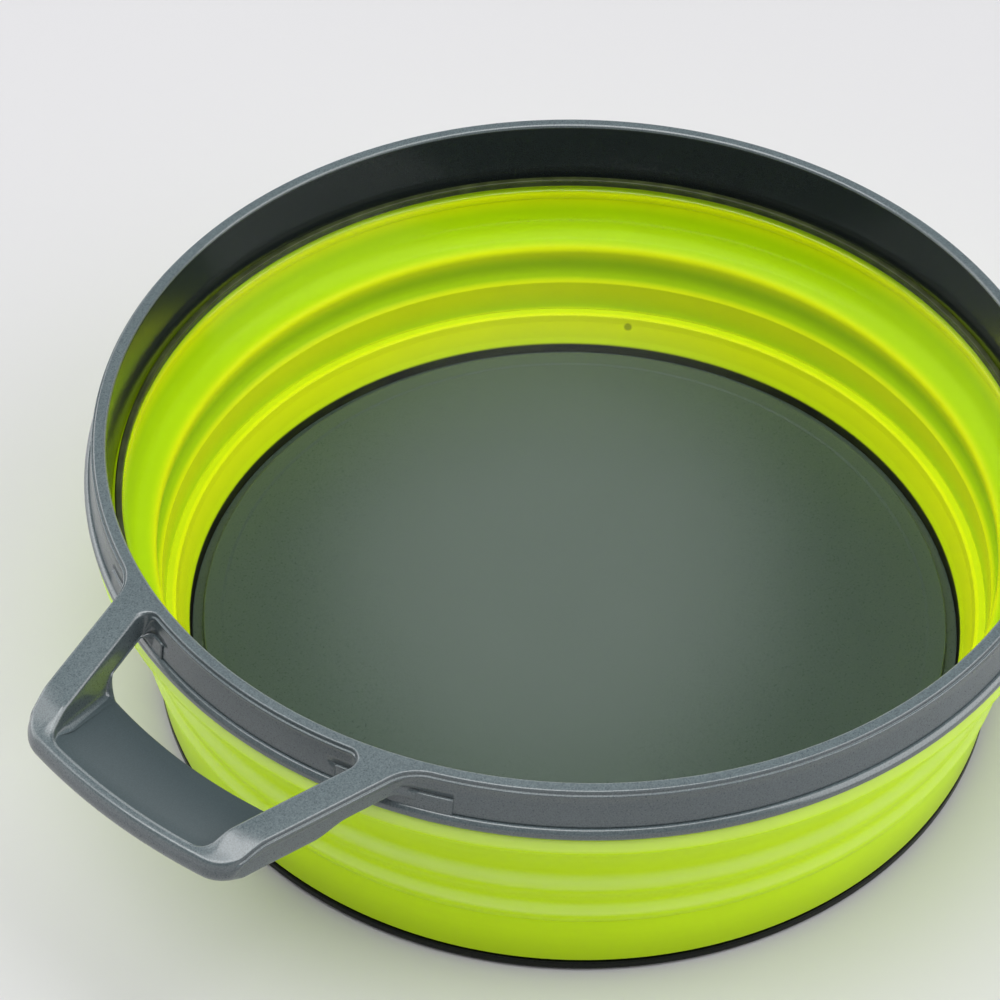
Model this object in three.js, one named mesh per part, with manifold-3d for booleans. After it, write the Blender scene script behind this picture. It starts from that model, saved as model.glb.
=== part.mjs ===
// Collapsible bowl with a clear drop-in lid: a stiff rim with a loop handle, a soft wall that folds down in
// nesting bands, and a base of two shells. Millimetres, +Z up, +X along the handle.
// The origin is on the bowl's axis, at the underside of the foot plate.
import * as THREE from 'three';
import { mergeVertices } from 'three/addons/utils/BufferGeometryUtils.js';
import Module from 'manifold-3d';

const wasm = await Module();
wasm.setup();

// Facets of turned pieces, and of the handle's long arcs
const RING_FACETS = 64;
const HANDLE_FACETS = 160;
const CORNER_STEPS = 5;

// Clearances
const SEAT_GAP = 0.3; // between pieces that rest on or stand against each other
const SLIDE_GAP = 0.3; // between wall bands that slide past each other

// Rim
const RIM_RADIUS = 66; // outer edge of the top land
const RIM_LAND = 2.1; // width of the top land
const RIM_EDGE = 0.5; // chamfer along the land's edges
const RIM_DEPTH = 12.1; // top land to the skirt's lower end
const WEB_DEPTH = 5.5; // top land to the web's lower end
const WEB_FLARE = 0.5; // how far the web's lower end stands out past the land
const WEB_GROOVE = 0.4; // shadow groove under the land
const SKIRT_WALL = 0.9;
const LEDGE_WIDTH = 0.9; // lid seat on the inside of the skirt
const LEDGE_HEIGHT = 0.8;

// Retainer ring that clamps the wall's collar under the web
const RETAINER_REACH = 1.4; // past the rim's land
const RETAINER_HEIGHT = 1.8;
const RETAINER_EDGE = 0.4;
const TAB_START = 13; // tabs that stand up the web under the handle's roots, degrees from its middle line
const TAB_END = 26.4;

// Soft wall: a collar under the retainer and nested bands, each with a lip at its top
const COLLAR_WALL = 1.1;
const BAND_WALL = 0.9;
const BAND_OVERLAP = 1.2; // how far a band reaches down past the crest of the next
const LIP_WALL = 1.2;
const UPPER_CREST_WIDTH = 4.1; // crest of the upper band, from its outer face inwards
const LOWER_CREST_WIDTH = 3.2; // crest of the lower band
const BASE_CREST_WIDTH = 3.5; // crest of the base band
const COLLAR_RISE = 7.5; // upper crest to the rim's skirt
const UPPER_RISE = 6.5; // lower crest to upper crest
const LOWER_RISE = 5.3; // base crest to lower crest

// Base
const BASE_CREST_HEIGHT = 12.1;
const FLOOR_HEIGHT = 7.5;
const FLOOR_SKIN = 2;
const FLOOR_GROOVE_WIDTH = 1.5; // dark groove round the floor
const FLOOR_GROOVE_DEPTH = 0.8;
const BASE_BAND_WALL = 5.2; // from the band's outer face to the floor pan
const PAN_WALL = 2;
const FOOT_HEIGHT = 2.6;
const FOOT_INSET = 0.3; // foot inside the base band's face
const FOOT_EDGE = 0.5;
const FOOT_RING_WIDTH = 9; // standing ring on the underside
const FOOT_HUB_RADIUS = 18; // standing disc at the middle of the underside
const FOOT_RECESS = 0.7; // recess between them

// Lid
const LID_THICKNESS = 1.8;
const LID_EDGE = 0.4;
const GASKET_WALL = 1.6;
const GASKET_HEIGHT = 1.7;
const GASKET_RIB = 0.35;

// Handle
const HANDLE_REACH = 22.5; // rim's land to the outer bar's face
const ARM_ROOT_HALF = 23; // arm's outer edge, from the middle line, at the rim's land
const ARM_TIP_HALF = 17; // the same at the outer bar's face
const ARM_WIDTH = 4.5;
const ARM_DEPTH = 3.5;
const ROOT_FLARE = 4; // length of the arms' flare along the rim
const BAR_DEPTH = 4.6; // depth of the bar, and of the arms beside the scoop
const ARM_BEND = 2; // length over which the arms deepen to it
const BAR_LIP = 2.1; // top lip of the outer bar
const BAR_DROP = 1; // how far the bar's outer edge rounds down
const BAR_RISE = 0.8; // how far the bar's underside rises past its outer edge
const HANDLE_CORNER = 5.5;
const OPENING_CORNER = 4;
const FINGER_GAP = 7.8; // retainer ring to the scoop's inner edge
const SCOOP_FALL = 4.8; // fall of the scoop from the bar to the finger gap
const SCOOP_WALL = 1.7;

// Levels
const lowerCrest = BASE_CREST_HEIGHT + LOWER_RISE;
const upperCrest = lowerCrest + UPPER_RISE;
const skirtEnd = upperCrest + COLLAR_RISE;
const rimTop = skirtEnd + RIM_DEPTH;
const webEnd = rimTop - WEB_DEPTH;
const retainerTop = webEnd - SEAT_GAP;
const retainerEnd = retainerTop - RETAINER_HEIGHT;
const armEnd = rimTop - ARM_DEPTH;
const ledgeTop = skirtEnd + LEDGE_HEIGHT;

// Radii, from the rim inwards
const mouthRadius = RIM_RADIUS - RIM_LAND;
const webRadius = RIM_RADIUS + WEB_FLARE;
const skirtRadius = mouthRadius + SKIRT_WALL;
const retainerRadius = RIM_RADIUS + RETAINER_REACH;
const collarBandRadius = mouthRadius;
const collarBandInner = collarBandRadius - BAND_WALL;
const upperBandRadius = collarBandInner - SLIDE_GAP;
const upperBandInner = upperBandRadius - BAND_WALL;
const lowerBandRadius = upperBandInner - SLIDE_GAP;
const lowerBandInner = lowerBandRadius - BAND_WALL;
const baseBandRadius = lowerBandInner - SLIDE_GAP;
const baseBandInner = baseBandRadius - BASE_BAND_WALL;
const panRadius = baseBandInner - SEAT_GAP;
const footRadius = baseBandRadius - FOOT_INSET;

// Drops the triangles that collapse to a line where a profile meets the axis, and merges shared vertices.
function closed(geometry) {
  const bare = geometry.clone();
  bare.deleteAttribute('normal');
  bare.deleteAttribute('uv');
  const merged = mergeVertices(bare);
  const index = [];
  for (let i = 0; i < merged.index.count; i += 3) {
    const [a, b, c] = [0, 1, 2].map((k) => merged.index.getX(i + k));
    if (a !== b && b !== c && c !== a) index.push(a, b, c);
  }
  merged.setIndex(index);
  return merged;
}

// Turns a profile of [radius, height] points about Z. Points run anticlockwise, radius to the right;
// a profile that doesn't start and end on the axis is closed on itself.
function turned(profile, facets = RING_FACETS) {
  const points = profile.map(([radius, height]) => new THREE.Vector2(radius, height));
  const onAxis = profile[0][0] === 0 && profile[profile.length - 1][0] === 0;
  if (!onAxis) points.push(points[0].clone());
  return closed(new THREE.LatheGeometry(points, facets).rotateX(Math.PI / 2));
}

// Stands a plan outline up between two levels.
function prism(outline, low, high) {
  const settings = { depth: high - low, bevelEnabled: false, curveSegments: CORNER_STEPS };
  return closed(new THREE.ExtrudeGeometry(outline, settings).translate(0, 0, low));
}

// A closed geometry as a solid that can be joined and cut.
function solid(geometry) {
  const vertProperties = new Float32Array(geometry.attributes.position.array);
  const triVerts = new Uint32Array(geometry.index.array);
  return new wasm.Manifold(new wasm.Mesh({ numProp: 3, vertProperties, triVerts }));
}

// The surface of a solid as a geometry.
function surface(body) {
  const mesh = body.getMesh();
  const geometry = new THREE.BufferGeometry();
  geometry.setAttribute('position', new THREE.BufferAttribute(new Float32Array(mesh.vertProperties), 3));
  geometry.setIndex(Array.from(mesh.triVerts));
  return geometry;
}

// Rim: a land on top, a web that flares down and out, and a thin skirt with the lid's ledge at its lower end
function rimFrame() {
  return turned([
    [mouthRadius - LEDGE_WIDTH, skirtEnd],
    [skirtRadius, skirtEnd],
    [skirtRadius, webEnd],
    [webRadius, webEnd],
    [RIM_RADIUS - WEB_GROOVE, rimTop - RIM_EDGE - 2 * WEB_GROOVE],
    [RIM_RADIUS, rimTop - RIM_EDGE - WEB_GROOVE],
    [RIM_RADIUS, rimTop - RIM_EDGE],
    [RIM_RADIUS - RIM_EDGE, rimTop],
    [mouthRadius + RIM_EDGE, rimTop],
    [mouthRadius, rimTop - RIM_EDGE],
    [mouthRadius, ledgeTop],
    [mouthRadius - LEDGE_WIDTH, ledgeTop],
  ]);
}

// Plan wedge of one tab, on either side of the handle
function tabOutline(side) {
  const corners = [TAB_START, TAB_END].map((degrees) => {
    const angle = side * THREE.MathUtils.degToRad(degrees);
    return new THREE.Vector2(Math.cos(angle), Math.sin(angle)).multiplyScalar(2 * RIM_RADIUS);
  });
  if (side < 0) corners.reverse();
  return new THREE.Shape([new THREE.Vector2(), ...corners]);
}

// Retainer ring: sits under the web, outside the skirt, and stands out past it as the lower flange.
// Its tabs stand up in front of the web, below the handle's arms.
function retainerRing() {
  const inner = skirtRadius + SEAT_GAP;
  const tabInner = webRadius + SEAT_GAP;
  const tabTop = armEnd - SEAT_GAP;
  const ring = turned([
    [inner, retainerEnd],
    [retainerRadius - RETAINER_EDGE, retainerEnd],
    [retainerRadius, retainerEnd + RETAINER_EDGE],
    [retainerRadius, retainerTop - RETAINER_EDGE],
    [retainerRadius - RETAINER_EDGE, retainerTop],
    [inner, retainerTop],
  ]);
  const tabRing = turned([
    [tabInner, retainerEnd + RETAINER_EDGE],
    [retainerRadius - RETAINER_EDGE / 2, retainerEnd + RETAINER_EDGE],
    [retainerRadius - RETAINER_EDGE / 2, tabTop],
    [tabInner, tabTop],
  ]);
  let body = solid(ring);
  for (const side of [1, -1]) {
    const wedge = solid(prism(tabOutline(side), retainerEnd, rimTop));
    body = body.add(solid(tabRing).intersect(wedge));
  }
  return surface(body);
}

// Collar band: a collar round the skirt under the retainer, stepping in below the skirt to the first band
function collarBand() {
  const collarInner = skirtRadius + SEAT_GAP;
  const collarRadius = collarInner + COLLAR_WALL;
  const stepTop = skirtEnd - SEAT_GAP;
  const end = upperCrest - BAND_OVERLAP;
  return turned([
    [collarBandInner, end],
    [collarBandRadius, end],
    [collarBandRadius, stepTop - 2 * COLLAR_WALL],
    [collarRadius, stepTop - COLLAR_WALL / 2],
    [collarRadius, retainerEnd - SEAT_GAP],
    [collarInner, retainerEnd - SEAT_GAP],
    [collarInner, stepTop],
    [collarBandInner, stepTop],
  ]);
}

// A folding band: an upright wall with an inward lip at its top, whose rounded edge is the band's crest
function foldingBand(radius, crest, crestWidth, end) {
  const lipInner = radius - crestWidth;
  const round = LIP_WALL / 3;
  return turned([
    [radius - BAND_WALL, end],
    [radius, end],
    [radius, crest - round],
    [radius - round, crest],
    [lipInner + round, crest],
    [lipInner, crest - round],
    [lipInner, crest - LIP_WALL],
    [radius - BAND_WALL, crest - LIP_WALL],
  ]);
}

// Base band: the wall's thick foot, which stands on the foot plate and leans in from its crest to the floor
function baseBand() {
  const crestInner = baseBandRadius - BASE_CREST_WIDTH;
  const round = LIP_WALL / 3;
  return turned([
    [baseBandInner, FOOT_HEIGHT + SEAT_GAP],
    [baseBandRadius, FOOT_HEIGHT + SEAT_GAP],
    [baseBandRadius, BASE_CREST_HEIGHT - round],
    [baseBandRadius - round, BASE_CREST_HEIGHT],
    [crestInner + round, BASE_CREST_HEIGHT],
    [crestInner, BASE_CREST_HEIGHT - round],
    [baseBandInner, FLOOR_HEIGHT],
  ]);
}

// Floor pan: the bowl's floor, with a groove round it, on a skirt that stands on the foot plate
function floorPan() {
  const grooveInner = panRadius - FLOOR_GROOVE_WIDTH;
  const grooveFloor = FLOOR_HEIGHT - FLOOR_GROOVE_DEPTH;
  const skirtFoot = FOOT_HEIGHT + SEAT_GAP;
  return turned([
    [0, FLOOR_HEIGHT - FLOOR_SKIN],
    [panRadius - PAN_WALL, FLOOR_HEIGHT - FLOOR_SKIN],
    [panRadius - PAN_WALL, skirtFoot],
    [panRadius, skirtFoot],
    [panRadius, grooveFloor],
    [grooveInner, grooveFloor],
    [grooveInner, FLOOR_HEIGHT],
    [0, FLOOR_HEIGHT],
  ]);
}

// Foot plate: closes the base from below and stands on an outer ring and a middle disc
function footPlate() {
  const ringInner = footRadius - FOOT_RING_WIDTH;
  return turned([
    [0, 0],
    [FOOT_HUB_RADIUS, 0],
    [FOOT_HUB_RADIUS + FOOT_RECESS, FOOT_RECESS],
    [ringInner - FOOT_RECESS, FOOT_RECESS],
    [ringInner, 0],
    [footRadius - FOOT_EDGE, 0],
    [footRadius, FOOT_EDGE],
    [footRadius, FOOT_HEIGHT - FOOT_EDGE],
    [footRadius - FOOT_EDGE, FOOT_HEIGHT],
    [0, FOOT_HEIGHT],
  ]);
}

// Lid: a clear disc inside a soft gasket that rests on the rim's ledge
const gasketRadius = mouthRadius - SEAT_GAP;
const gasketInner = gasketRadius - GASKET_WALL;
const gasketEnd = ledgeTop + SEAT_GAP;
const lidTop = gasketEnd + GASKET_HEIGHT;

function lidGasket() {
  const middle = gasketEnd + GASKET_HEIGHT / 2;
  return turned([
    [gasketInner, gasketEnd],
    [gasketRadius - GASKET_RIB, gasketEnd],
    [gasketRadius, gasketEnd + GASKET_RIB],
    [gasketRadius - GASKET_RIB, middle],
    [gasketRadius, lidTop - GASKET_RIB],
    [gasketRadius - GASKET_RIB, lidTop],
    [gasketInner, lidTop],
  ]);
}

function lidPanel() {
  const radius = gasketInner - SEAT_GAP;
  return turned([
    [0, lidTop - LID_THICKNESS],
    [radius - LID_EDGE, lidTop - LID_THICKNESS],
    [radius, lidTop - LID_THICKNESS + LID_EDGE],
    [radius, lidTop - LID_EDGE],
    [radius - LID_EDGE, lidTop],
    [0, lidTop],
  ]);
}

// Handle, seen in plan: its bar and scoop follow arcs about the bowl's axis, between two arms that close in
const barRadius = RIM_RADIUS + HANDLE_REACH;
const barInner = barRadius - BAR_LIP;
const scoopRadius = retainerRadius + FINGER_GAP;
const armRoot = new THREE.Vector2(RIM_RADIUS, ARM_ROOT_HALF);
const armTip = new THREE.Vector2(barRadius, ARM_TIP_HALF);
const armAlong = armTip.clone().sub(armRoot).normalize();
const armInward = new THREE.Vector2(armAlong.y, -armAlong.x);

// Where the line from a point along a direction leaves a circle about the axis.
function meetCircle(point, along, radius) {
  const half = point.dot(along);
  const reach = -half + Math.sqrt(half * half - point.lengthSq() + radius * radius);
  return point.clone().addScaledVector(along, reach);
}

// A point moved round the axis by a length of arc.
function movedRound(point, length) {
  return point.clone().rotateAround(new THREE.Vector2(), length / point.length());
}

// Closes one side's outline, given from the rim outwards, with its mirror image, as an outline of straight runs
// with a rounded corner at each middle point.
function mirroredOutline(side, arcRadius) {
  const [start, rootIn, rootCorner, rootOut, cornerIn, corner, cornerOut] = side;
  const flip = (p) => new THREE.Vector2(p.x, -p.y);
  const outline = new THREE.Shape();
  outline.moveTo(start.x, -start.y);
  outline.lineTo(rootIn.x, -rootIn.y);
  outline.quadraticCurveTo(rootCorner.x, -rootCorner.y, rootOut.x, -rootOut.y);
  outline.lineTo(cornerIn.x, -cornerIn.y);
  outline.quadraticCurveTo(corner.x, -corner.y, cornerOut.x, -cornerOut.y);
  outline.absarc(0, 0, arcRadius, flip(cornerOut).angle() - 2 * Math.PI, cornerOut.angle(), false);
  outline.quadraticCurveTo(corner.x, corner.y, cornerIn.x, cornerIn.y);
  outline.lineTo(rootOut.x, rootOut.y);
  outline.quadraticCurveTo(rootCorner.x, rootCorner.y, rootIn.x, rootIn.y);
  outline.lineTo(start.x, start.y);
  outline.closePath();
  return outline;
}

// Outline of the whole loop: flares along the rim at its roots, rounds at the bar's ends
function loopOutline() {
  const rootCorner = meetCircle(armRoot, armAlong, webRadius);
  const corner = meetCircle(armRoot, armAlong, barRadius);
  const rootIn = movedRound(rootCorner, ROOT_FLARE);
  return mirroredOutline([
    rootIn.clone().setLength(mouthRadius - ROOT_FLARE),
    rootIn,
    rootCorner,
    rootCorner.clone().addScaledVector(armAlong, ROOT_FLARE),
    corner.clone().addScaledVector(armAlong, -HANDLE_CORNER),
    corner,
    movedRound(corner, -HANDLE_CORNER),
  ], barRadius);
}

// Outline of the opening inside the arms and the bar's lip
function openingOutline() {
  const edge = armRoot.clone().addScaledVector(armInward, ARM_WIDTH);
  const rootCorner = meetCircle(edge, armAlong, webRadius);
  const corner = meetCircle(edge, armAlong, barInner);
  const rootIn = movedRound(rootCorner, -OPENING_CORNER / 2);
  return mirroredOutline([
    rootIn.clone().setLength(mouthRadius - ROOT_FLARE),
    rootIn,
    rootCorner,
    rootCorner.clone().addScaledVector(armAlong, OPENING_CORNER / 2),
    corner.clone().addScaledVector(armAlong, -OPENING_CORNER),
    corner,
    movedRound(corner, -OPENING_CORNER),
  ], barInner);
}

// Handle: arms and bar, and a scoop for the fingertips
function handleLoop() {
  const scoopEnd = rimTop - BAR_DROP - SCOOP_FALL - SCOOP_WALL;
  const low = scoopEnd - ARM_DEPTH;
  const high = rimTop + ARM_DEPTH;
  const landClear = RIM_RADIUS + SEAT_GAP;
  const barEnd = rimTop - BAR_DEPTH;
  const loop = turned([
    [landClear + WEB_FLARE * (ARM_DEPTH / WEB_DEPTH), armEnd],
    [scoopRadius - ARM_BEND, armEnd],
    [scoopRadius, barEnd],
    [barInner, barEnd],
    [barRadius + BAR_LIP, barEnd + BAR_RISE],
    [barRadius + BAR_LIP, rimTop - 2 * BAR_DROP],
    [barInner, rimTop],
    [landClear, rimTop],
  ], HANDLE_FACETS);
  const scoop = turned([
    [scoopRadius, scoopEnd],
    [barInner + BAR_LIP / 2, rimTop - BAR_DROP - 2 * SCOOP_WALL],
    [barInner + BAR_LIP / 2, rimTop - BAR_DROP - SCOOP_WALL / 2],
    [barInner, rimTop - BAR_DROP],
    [scoopRadius, rimTop - BAR_DROP - SCOOP_FALL],
  ], HANDLE_FACETS);
  const plan = solid(prism(loopOutline(), low, high));
  const opening = solid(prism(openingOutline(), low - ARM_DEPTH, high + ARM_DEPTH));
  const frame = solid(loop).intersect(plan).subtract(opening);
  return surface(frame.add(solid(scoop).intersect(plan)));
}

// Finishes
const nylon = { color: 0x5b676c, roughness: 0.55, metalness: 0 };
const floorNylon = { color: 0x4c5d55, roughness: 0.6, metalness: 0 };
const footNylon = { color: 0x1b2120, roughness: 0.6, metalness: 0 };
const silicone = { color: 0xb5d516, roughness: 0.45, metalness: 0 };
const gasketRubber = { color: 0x3c471c, roughness: 0.4, metalness: 0 };
const clearPlastic = { color: 0xe6eeee, roughness: 0.06, metalness: 0, transparent: true, opacity: 0.22 };

const upperBandEnd = lowerCrest - BAND_OVERLAP;
const lowerBandEnd = BASE_CREST_HEIGHT - BAND_OVERLAP;
const pieces = [
  ['foot_plate', footPlate(), footNylon],
  ['floor_pan', floorPan(), floorNylon],
  ['wall_base_band', baseBand(), silicone],
  ['wall_lower_band', foldingBand(lowerBandRadius, lowerCrest, LOWER_CREST_WIDTH, lowerBandEnd), silicone],
  ['wall_upper_band', foldingBand(upperBandRadius, upperCrest, UPPER_CREST_WIDTH, upperBandEnd), silicone],
  ['wall_collar_band', collarBand(), silicone],
  ['retainer_ring', retainerRing(), nylon],
  ['rim_frame', rimFrame(), nylon],
  ['handle_loop', handleLoop(), nylon],
  ['lid_gasket', lidGasket(), gasketRubber],
  ['lid_panel', lidPanel(), clearPlastic],
];

const bowl = new THREE.Group();
for (const [name, geometry, finish] of pieces) {
  const mesh = new THREE.Mesh(geometry, new THREE.MeshStandardMaterial(finish));
  mesh.name = name;
  bowl.add(mesh);
}

export default bowl;
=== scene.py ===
"""Looks of a collapsible bowl with a clear drop-in lid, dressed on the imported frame.

The classes hold millimetres, and the meshes that they make are in metres. Heights count up from the
table, radii out from the bowl's axis, and the handle lies along +X.
"""
import logging
import math
from dataclasses import dataclass, field
from enum import Enum
from typing import Any

import bmesh
import bpy
from mathutils import Euler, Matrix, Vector
from mathutils.geometry import delaunay_2d_cdt


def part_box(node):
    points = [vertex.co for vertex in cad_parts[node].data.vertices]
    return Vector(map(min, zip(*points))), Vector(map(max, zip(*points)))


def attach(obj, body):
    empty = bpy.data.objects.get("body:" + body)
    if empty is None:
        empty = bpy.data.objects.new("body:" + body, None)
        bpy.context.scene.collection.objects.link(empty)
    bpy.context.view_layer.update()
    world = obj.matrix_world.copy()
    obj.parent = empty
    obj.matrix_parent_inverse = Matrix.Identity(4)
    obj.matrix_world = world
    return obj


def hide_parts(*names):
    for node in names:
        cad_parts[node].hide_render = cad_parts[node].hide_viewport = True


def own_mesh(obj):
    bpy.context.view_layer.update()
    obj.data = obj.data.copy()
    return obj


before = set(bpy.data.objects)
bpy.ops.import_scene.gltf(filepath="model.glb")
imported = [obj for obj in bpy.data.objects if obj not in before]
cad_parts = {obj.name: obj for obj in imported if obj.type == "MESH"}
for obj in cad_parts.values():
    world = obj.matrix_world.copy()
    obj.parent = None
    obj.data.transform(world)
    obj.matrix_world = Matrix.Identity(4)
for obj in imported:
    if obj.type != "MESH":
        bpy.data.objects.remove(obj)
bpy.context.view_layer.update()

LOG = logging.getLogger("bowl")
MM = 0.001
Pair = tuple[float, float]
Triple = tuple[float, float, float]
Colour = tuple[float, float, float]


class Body(Enum):
    """The rigid bodies of the frame that pieces ride on."""

    BASE = "base"
    RIM = "rim"
    LID = "lid"


class Slot(Enum):
    """The record's material slots."""

    RIM = "rim_nylon"
    WALL = "wall_silicone"
    FLOOR = "floor_nylon"
    FOOT = "foot_nylon"
    GASKET = "lid_gasket"
    LID = "lid_clear"


def node_top(node: str) -> float:
    """Height of a CAD node's highest point, in millimetres."""
    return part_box(node)[1].z / MM


def node_bottom(node: str) -> float:
    """Height of a CAD node's lowest point, in millimetres."""
    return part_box(node)[0].z / MM


def node_reach(node: str) -> float:
    """How far a CAD node reaches along +X, in millimetres."""
    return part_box(node)[1].x / MM


def mix(a: float, b: float, share: float) -> float:
    """The number that lies a share of the way from a to b."""
    return a + (b - a) * share


def heading(angle: float) -> Vector:
    """The unit vector in plan at an angle from +X, in radians."""
    return Vector((math.cos(angle), math.sin(angle)))


def ease(share: float) -> float:
    """A share from 0 to 1 that starts and stops gently."""
    share = min(1.0, max(0.0, share))
    return share * share * (3 - 2 * share)


# Shader expressions


class Value:
    """A number that varies over a surface: a shader socket with arithmetic."""

    def __init__(self, shader: "Graph", socket: bpy.types.NodeSocket) -> None:
        """Wraps a socket.

        Args:
            shader: The tree that the socket belongs to.
            socket: An output that carries a number.
        """
        self.shader = shader
        self.socket = socket

    def _math(self, operation: str, first: Any, second: Any) -> "Value":
        """Adds a Math node.

        Args:
            operation: The node's operation.
            first: A value or a number.
            second: A value or a number.

        Returns:
            The node's result.
        """
        node = self.shader.node("ShaderNodeMath", {"operation": operation}, {0: first, 1: second})
        return Value(self.shader, node.outputs[0])

    def __add__(self, other: Any) -> "Value":
        """self + other"""
        return self._math("ADD", self, other)

    __radd__ = __add__

    def __sub__(self, other: Any) -> "Value":
        """self - other"""
        return self._math("SUBTRACT", self, other)

    def __rsub__(self, other: Any) -> "Value":
        """other - self"""
        return self._math("SUBTRACT", other, self)

    def __mul__(self, other: Any) -> "Value":
        """self * other"""
        return self._math("MULTIPLY", self, other)

    __rmul__ = __mul__

    def __truediv__(self, other: Any) -> "Value":
        """self / other"""
        return self._math("DIVIDE", self, other)

    def __pow__(self, other: Any) -> "Value":
        """self ** other"""
        return self._math("POWER", self, other)

    def span(self, low: float, high: float) -> "Value":
        """This value from low to high, eased onto 0 to 1.

        Args:
            low: What becomes 0.
            high: What becomes 1.

        Returns:
            The eased value.
        """
        inputs = {"Value": self, "From Min": low, "From Max": high}
        node = self.shader.node("ShaderNodeMapRange", {"interpolation_type": "SMOOTHSTEP"}, inputs)
        return Value(self.shader, node.outputs["Result"])


class Graph:
    """A node tree, with one method that adds any node."""

    def __init__(self, tree: bpy.types.NodeTree) -> None:
        """Empties a tree.

        Args:
            tree: The tree of a material, a world or a node group.
        """
        self.tree = tree
        self.tree.nodes.clear()

    def node(self, kind: str, settings: dict[str, Any], inputs: dict[Any, Any]) -> bpy.types.Node:
        """Adds a node.

        Args:
            kind: The node's type.
            settings: Attributes of the node, set first.
            inputs: Values, links or plain settings by the input's name or number.

        Returns:
            The node.
        """
        made = self.tree.nodes.new(kind)
        for key, value in settings.items():
            setattr(made, key, value)
        for key, value in inputs.items():
            if isinstance(value, Value):
                value = value.socket
            if isinstance(value, bpy.types.NodeSocket):
                self.tree.links.new(value, made.inputs[key])
            else:
                made.inputs[key].default_value = value
        return made

    def dot(self, first: Any, second: Any) -> Value:
        """The dot product of two vectors."""
        node = self.node("ShaderNodeVectorMath", {"operation": "DOT_PRODUCT"}, {0: first, 1: second})
        return Value(self, node.outputs["Value"])

    def blend(self, share: Value, first: Any, second: Any) -> bpy.types.NodeSocket:
        """A colour between two.

        Args:
            share: 0 gives the first colour, and 1 the second.
            first: A colour or a colour socket.
            second: A colour or a colour socket.

        Returns:
            The colour socket.
        """
        first, second = [(*c, 1.0) if isinstance(c, tuple) else c for c in (first, second)]
        inputs = {"Factor": share, 6: first, 7: second}
        return self.node("ShaderNodeMix", {"data_type": "RGBA"}, inputs).outputs[2]


class Shader(Graph):
    """A material's node tree and the patterns that finishes are made of."""

    def __init__(self, name: str) -> None:
        """Starts an empty material.

        Args:
            name: The material's name.
        """
        self.material = bpy.data.materials.new(name)
        self.material.use_nodes = True
        self._place: bpy.types.NodeSocket | None = None
        super().__init__(self.material.node_tree)

    def place(self) -> bpy.types.NodeSocket:
        """The point on the object, in metres in the shared frame.

        Returns:
            The vector socket, made once for the tree.
        """
        if self._place is None:
            self._place = self.node("ShaderNodeTexCoord", {}, {}).outputs["Object"]
        return self._place

    def noise(self, size: float, detail: float = 2.0, stretch: Triple = (1, 1, 1)) -> Value:
        """Cloudy noise from 0 to 1.

        Args:
            size: Width of its features, in millimetres.
            detail: How many finer layers it has.
            stretch: Shrinks the features along each axis.

        Returns:
            The noise.
        """
        mapped = self.node("ShaderNodeMapping", {}, {"Vector": self.place(), "Scale": stretch})
        inputs = {
            "Vector": mapped.outputs[0], "Scale": 1 / (size * MM), "Detail": detail, "Roughness": 0.55,
        }
        return Value(self, self.node("ShaderNodeTexNoise", {}, inputs).outputs["Fac"])

    def height(self) -> Value:
        """Height above the table, in millimetres."""
        return Value(self, self.node("ShaderNodeSeparateXYZ", {}, {0: self.place()}).outputs["Z"]) / MM

    def tilt(self) -> Value:
        """How far the surface faces up: 1 for a level top, 0 for an upright side."""
        return self.dot(self.node("ShaderNodeNewGeometry", {}, {}).outputs["Normal"], (0, 0, 1))

    def near(self, spot: Triple, reach: float) -> Value:
        """Closeness to a spot: 1 there, and 0 beyond a distance.

        Args:
            spot: The spot, in millimetres.
            reach: The distance, in millimetres.

        Returns:
            The closeness.
        """
        inputs = {0: self.place(), 1: tuple(c * MM for c in spot)}
        node = self.node("ShaderNodeVectorMath", {"operation": "DISTANCE"}, inputs)
        return Value(self, node.outputs["Value"]).span(reach * MM, reach * 0.55 * MM)

    def outwardness(self) -> Value:
        """How far the surface faces away from the bowl's axis.

        Returns:
            1 outside, and -1 inside.
        """
        kind, level = "ShaderNodeVectorMath", (1, 1, 0)
        flat = self.node(kind, {"operation": "MULTIPLY"}, {0: self.place(), 1: level})
        away = self.node(kind, {"operation": "NORMALIZE"}, {0: flat.outputs[0]})
        return self.dot(away.outputs[0], self.node("ShaderNodeNewGeometry", {}, {}).outputs["Normal"])

    def bump(self, height: Value, depth: float, strength: float) -> bpy.types.NodeSocket:
        """A normal with small relief.

        Args:
            height: The relief, from 0 to 1.
            depth: Its depth, in millimetres.
            strength: How much of it shows.

        Returns:
            The normal socket.
        """
        inputs = {"Height": height, "Distance": depth * MM, "Strength": strength}
        return self.node("ShaderNodeBump", {}, inputs).outputs["Normal"]

    def surface(self, inputs: dict[str, Any]) -> bpy.types.Node:
        """Adds the Principled shader that the finish is made of.

        Args:
            inputs: Its sockets' values and links.

        Returns:
            The shader node.
        """
        return self.node("ShaderNodeBsdfPrincipled", {}, inputs)

    def finish(self, shader: bpy.types.Node) -> bpy.types.Material:
        """Joins a shader to the output and gives the material."""
        self.node("ShaderNodeOutputMaterial", {}, {"Surface": shader.outputs[0]})
        return self.material


# Finishes


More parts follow.
